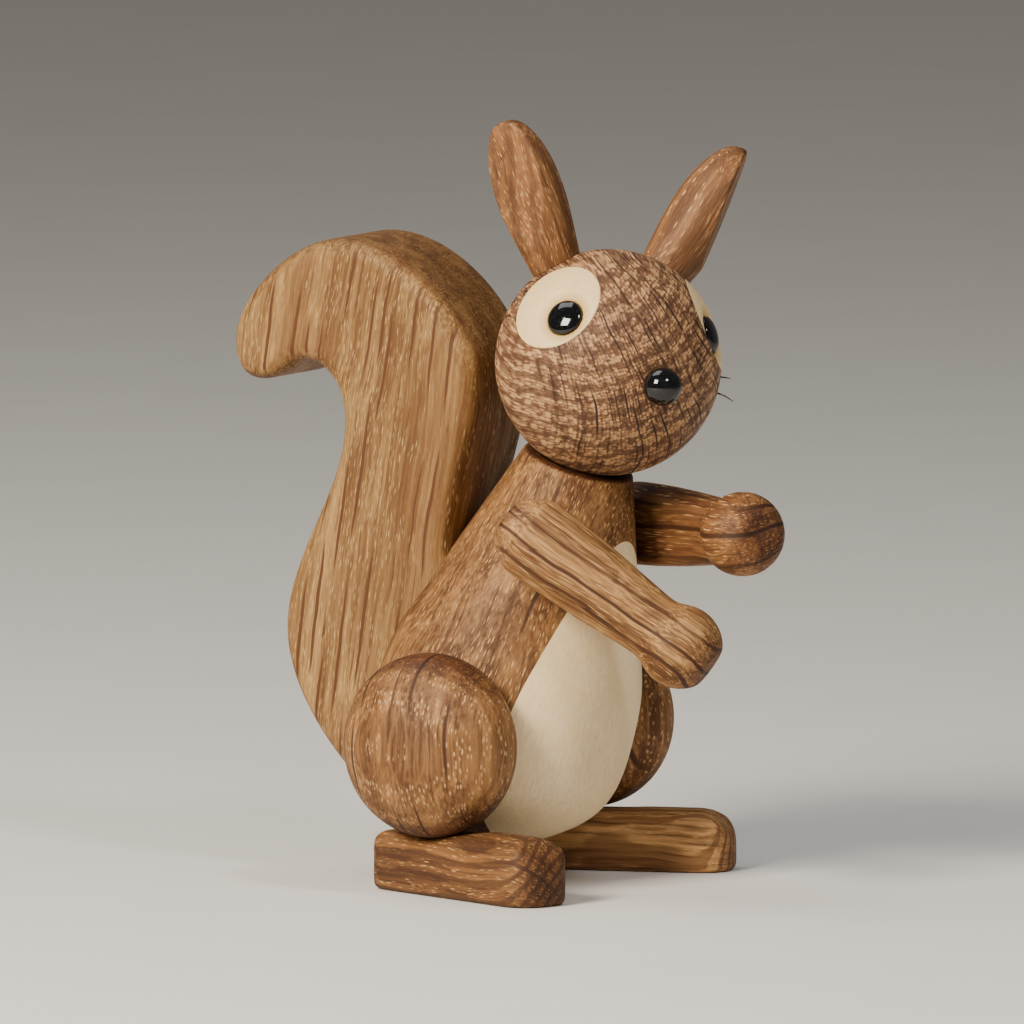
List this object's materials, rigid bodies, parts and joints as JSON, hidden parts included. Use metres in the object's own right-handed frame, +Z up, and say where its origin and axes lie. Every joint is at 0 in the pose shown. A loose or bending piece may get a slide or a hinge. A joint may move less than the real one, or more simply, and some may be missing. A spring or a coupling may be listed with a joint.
{
  "type": "squirrel figurine",
  "caption": "Turned oak squirrel standing on splayed feet, leaning pear body with pale maple belly, ball head that turns, swinging arms and a thick S-shaped tail",
  "frame": {"origin": "on the ground plane below the middle of the overall box", "axes": "+Z up, the squirrel faces -Y, its left side is +X"},
  "size_m": [0.0686, 0.0923, 0.1213],
  "materials": {
    "oiled_oak": "oiled, satin",
    "golden_oak": "oiled, satin",
    "smoked_oak": "oiled, satin",
    "red_oak": "oiled, satin",
    "maple": "sanded, matt",
    "black_bead": "polished",
    "bristle": "plain",
    "beech_dowel": "plain"
  },
  "bodies": {
    "figure": {"torso": "oiled_oak", "right_thigh": "oiled_oak", "left_thigh": "oiled_oak", "right_foot": "oiled_oak", "left_foot": "oiled_oak", "tail": "golden_oak", "belly": "maple", "neck_dowel": "beech_dowel", "right_arm_pin": "beech_dowel", "left_arm_pin": "beech_dowel", "right_thigh_dowel": "beech_dowel", "left_thigh_dowel": "beech_dowel", "right_foot_dowel": "beech_dowel", "left_foot_dowel": "beech_dowel", "tail_dowels": "beech_dowel"},
    "head": {"head": "smoked_oak", "right_ear": "red_oak", "left_ear": "red_oak", "right_eye_disc": "maple", "left_eye_disc": "maple", "right_eye_bead": "black_bead", "left_eye_bead": "black_bead", "nose_bead": "black_bead", "left_whiskers": "bristle"},
    "right_arm": {"right_arm": "oiled_oak"},
    "left_arm": {"left_arm": "oiled_oak"}
  },
  "joints": [
    {"name": "head_swivel", "type": "hinge", "parent": "figure", "child": "head", "pos_m": [0, -0.01764, 0.0829], "axis": [0, -0.2538, 0.9673], "continuous": true},
    {"name": "right_arm_swing", "type": "hinge", "parent": "figure", "child": "right_arm", "pos_m": [-0.01186, -0.01276, 0.05484], "axis": [-0.8918, -0.4082, 0.1953], "range_deg": [-42, 14]},
    {"name": "left_arm_swing", "type": "hinge", "parent": "figure", "child": "left_arm", "pos_m": [0.01186, -0.01276, 0.05484], "axis": [0.8918, -0.4082, 0.1953], "range_deg": [-14, 80]}
  ]
}
